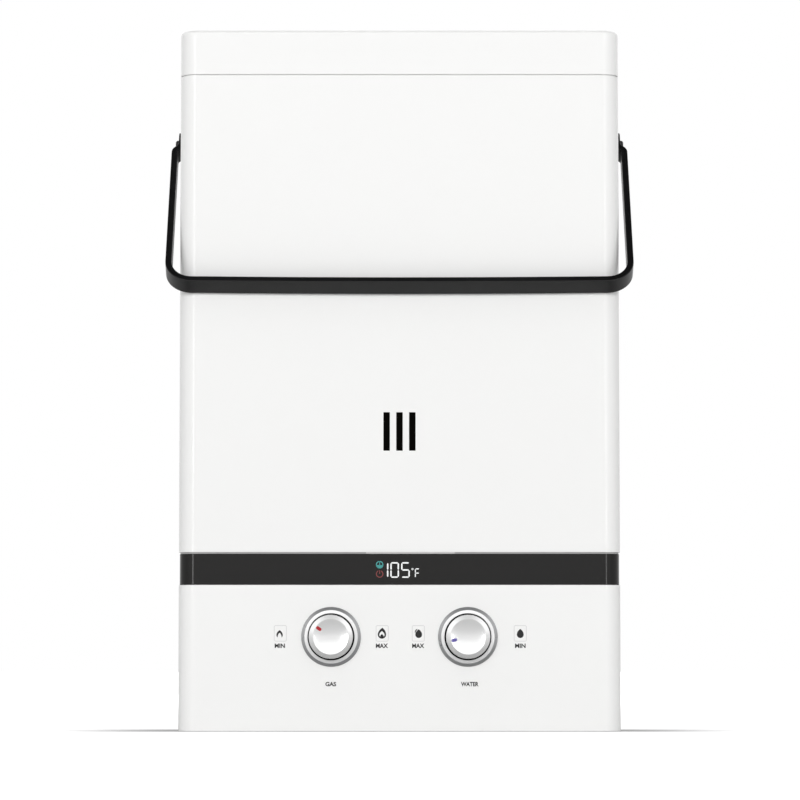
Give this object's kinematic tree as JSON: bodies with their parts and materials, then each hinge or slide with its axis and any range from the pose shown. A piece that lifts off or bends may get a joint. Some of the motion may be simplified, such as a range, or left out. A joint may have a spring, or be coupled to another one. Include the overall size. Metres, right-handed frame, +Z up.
{
  "type": "portable propane water heater",
  "caption": "Free-standing portable gas water heater: white case with a dark display band, turning gas and water knobs, rear hose connections and a swinging carrying bail.",
  "frame": {"origin": "on the ground, under the middle of the heater's outline: halfway between the knobs' faces and the rear screw heads, and on the middle plane of the case", "axes": "+Z up, -Y towards the user in front of the control panel, +X to the right as seen from the front"},
  "size_m": [0.3656, 0.189, 0.548],
  "materials": {
    "white_sheet": "satin",
    "white_plastic": "satin",
    "dark_glossy": "gloss",
    "trim_grey": "satin",
    "handle_black": "satin",
    "zinc": "satin",
    "stainless": "brushed",
    "chrome_ring": "polished",
    "aluminium": "cast",
    "brass": "machined",
    "copper": "drawn",
    "rubber": "matte",
    "black_plastic": "matte",
    "board_green": "satin",
    "mica": "clear",
    "ceramic": "glazed",
    "cell_jacket": "satin"
  },
  "bodies": {
    "casing": {"front_shell": "white_sheet", "top_cap": "white_sheet", "exhaust_grille": "stainless", "display_band": "dark_glossy", "trim_strip": "trim_grey", "lower_shell": "white_plastic", "back_panel": "white_sheet", "connection_panel": "zinc", "cap_brackets": "zinc", "rubber_feet": "rubber", "case_screws": "zinc", "sight_window": "mica", "pivot_screws": "handle_black", "pivot_washers": "black_plastic", "pivot_nut_plates": "zinc", "gas_bezel": "chrome_ring", "water_bezel": "chrome_ring", "display_module": "black_plastic", "display_board": "board_green", "water_fittings": "brass", "gas_inlet_fitting": "brass", "fitting_nuts": "zinc", "inlet_filter": "stainless", "gas_pipes": "copper", "gas_valve_body": "aluminium", "gas_solenoid": "black_plastic", "burner_manifold": "zinc", "burner_nozzles": "brass", "burner_tray": "zinc", "burner_bars": "stainless", "combustion_chamber": "copper", "chamber_brackets": "zinc", "chamber_pipe": "copper", "exchanger_casing": "copper", "fin_pack": "copper", "exchanger_tubes": "copper", "flue_hood": "stainless", "overheat_sensor": "black_plastic", "water_valve_body": "brass", "flow_microswitch": "black_plastic", "drain_plug": "brass", "cold_pipes": "copper", "hot_pipe": "copper", "valve_bracket": "zinc", "electrodes": "ceramic", "igniter_box": "black_plastic", "ignition_lead": "rubber", "battery_box": "black_plastic", "battery_cells": "cell_jacket", "battery_contacts": "stainless"},
    "handle": {"carry_handle": "handle_black"},
    "gas_control": {"gas_knob": "white_plastic", "gas_spindle": "brass"},
    "water_control": {"water_knob": "white_plastic", "water_spindle": "brass"},
    "battery_hatch": {"battery_door": "white_plastic"},
    "flow_rod": {"push_rod": "stainless"},
    "switch_lever": {"microswitch_lever": "stainless"},
    "gas_plunger": {"solenoid_plunger": "stainless"}
  },
  "joints": [
    {"name": "handle_swing", "type": "hinge", "parent": "casing", "child": "handle", "pos_m": [0, 0.0075, 0.4693], "axis": [-1, 0, 0], "range_deg": [0, 285]},
    {"name": "gas_knob_turn", "type": "hinge", "parent": "casing", "child": "gas_control", "pos_m": [-0.053, -0.0775, 0.073], "axis": [0, 1, 0], "range_deg": [-79, 191]},
    {"name": "water_knob_turn", "type": "hinge", "parent": "casing", "child": "water_control", "pos_m": [0.053, -0.0775, 0.073], "axis": [0, 1, 0], "range_deg": [-31, 239]},
    {"name": "battery_door_swing", "type": "hinge", "parent": "casing", "child": "battery_hatch", "pos_m": [0.115, 0.0909, 0.014], "axis": [-1, 0, 0], "range_deg": [0, 95]},
    {"name": "push_rod_slide", "type": "slide", "parent": "casing", "child": "flow_rod", "axis": [-1, 0, 0], "range_m": [0, 0.003], "stiffness_N_per_m": 400},
    {"name": "switch_lever_turn", "type": "hinge", "parent": "casing", "child": "switch_lever", "pos_m": [0.0045, -0.037, 0.06], "axis": [0, 0, 1], "range_deg": [0, 13.29]},
    {"name": "plunger_lift", "type": "slide", "parent": "casing", "child": "gas_plunger", "axis": [0, 0, 1], "range_m": [0, 0.003], "stiffness_N_per_m": 200}
  ],
  "couplings": [
    {"joint": "switch_lever_turn", "follows": "push_rod_slide", "rad_per_m": 77}
  ]
}
